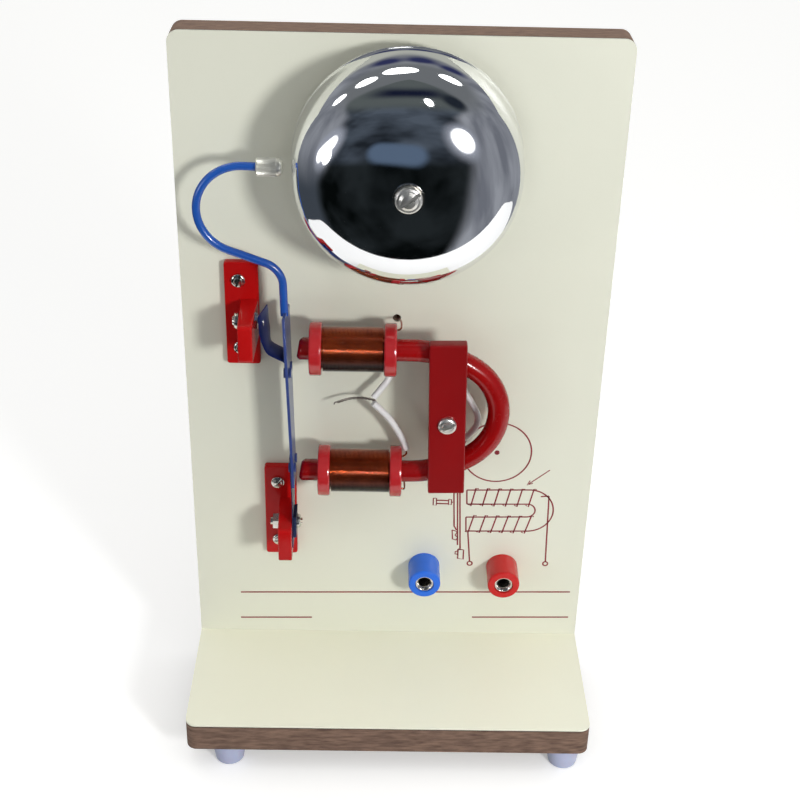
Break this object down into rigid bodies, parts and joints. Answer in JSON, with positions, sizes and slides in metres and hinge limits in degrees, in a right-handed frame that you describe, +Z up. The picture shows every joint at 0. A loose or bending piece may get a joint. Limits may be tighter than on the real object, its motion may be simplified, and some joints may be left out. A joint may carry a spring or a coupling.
{
  "type": "electric bell demonstrator",
  "caption": "Upright board with a trembler bell: horseshoe electromagnet, sprung armature with bent hammer rod, chromed gong, contact screw and plug sockets.",
  "frame": {"origin": "centre of the outline seen from above, on the floor under the feet", "axes": "+Z up, the face of the upright looks along -Y, +X to the right seen from the front"},
  "size_m": [0.152, 0.0754, 0.267],
  "materials": {
    "fibreboard": "matt, sawn and lightly sealed edges",
    "laminate": "satin melamine laminate",
    "white_foot": "moulded polythene",
    "gong_chrome": "mirror plated",
    "nickel": "bright nickel plate",
    "red_paint": "gloss enamel",
    "red_moulding": "moulded phenolic",
    "enamelled_copper": "varnished copper wire",
    "white_sleeve": "woven and plastic sleeving",
    "tinned_wire": "tinned and twisted",
    "blue_paint": "gloss enamel",
    "blued_steel": "blued spring steel",
    "silver_contact": "solid silver",
    "brass": "turned or stamped",
    "blue_plastic": "moulded",
    "red_plastic": "moulded",
    "red_wire": "PVC insulation",
    "blue_wire": "PVC insulation"
  },
  "bodies": {
    "stand": {"back_board": "fibreboard", "panel_laminate": "laminate", "base_board": "fibreboard", "base_laminate": "laminate", "panel_screws": "nickel", "feet": "white_foot", "foot_screws": "nickel", "gong": "gong_chrome", "gong_pillar": "nickel", "gong_bolt": "nickel", "gong_front_washer": "nickel", "gong_back_washer": "nickel", "gong_nut": "nickel", "magnet_core": "red_paint", "upper_bobbin": "red_moulding", "lower_bobbin": "red_moulding", "upper_winding_core": "enamelled_copper", "lower_winding_core": "enamelled_copper", "upper_winding": "enamelled_copper", "lower_winding": "enamelled_copper", "clamp_bar": "red_paint", "magnet_saddle": "red_paint", "clamp_bolt": "nickel", "clamp_washer": "nickel", "clamp_nut": "nickel", "upper_sleeve": "white_sleeve", "lower_sleeve": "white_sleeve", "lead_joint": "tinned_wire", "window_lead": "white_sleeve", "winding_tails": "enamelled_copper", "contact_bracket": "red_moulding", "armature_bracket": "red_moulding", "bracket_screws": "nickel", "contact_bush": "brass", "contact_lock_nut": "nickel", "spring_screw": "nickel", "spring_nut": "nickel", "spring_clamp_plate": "blued_steel", "suspension_spring": "blued_steel", "blue_socket": "blue_plastic", "red_socket": "red_plastic", "blue_socket_sleeve": "nickel", "red_socket_sleeve": "nickel", "socket_washers": "nickel", "solder_tags": "brass", "socket_nuts": "nickel", "red_socket_wire": "red_wire", "blue_socket_wire": "blue_wire", "armature_wire": "blue_wire", "wire_staples": "nickel"},
    "armature": {"armature_bar": "blue_paint", "armature_rivets": "blue_paint", "contact_spring": "blued_steel", "moving_contact": "silver_contact", "contact_spring_rivets": "blue_paint", "hammer_rod": "blue_paint", "striker": "nickel"},
    "contact_feed": {"contact_point": "silver_contact"},
    "contact_turner": {"contact_screw": "nickel"}
  },
  "joints": [
    {"name": "armature_swing", "type": "hinge", "parent": "stand", "child": "armature", "pos_m": [-0.0368, 0.0043, 0.097], "axis": [0, 1, 0], "range_deg": [0, 1.17], "stiffness_Nm_per_rad": 0.6, "springref_deg": -0.69, "deforming": ["suspension_spring"]},
    {"name": "contact_slide", "type": "slide", "parent": "stand", "child": "contact_feed", "axis": [1, 0, 0], "range_m": [-0.001, 0]},
    {"name": "contact_turn", "type": "hinge", "parent": "contact_feed", "child": "contact_turner", "pos_m": [-0.0511, 0.0043, 0.1701], "axis": [1, 0, 0], "range_deg": [-722, 0]}
  ],
  "couplings": [
    {"joint": "contact_turn", "follows": "contact_slide", "rad_per_m": 12566}
  ]
}
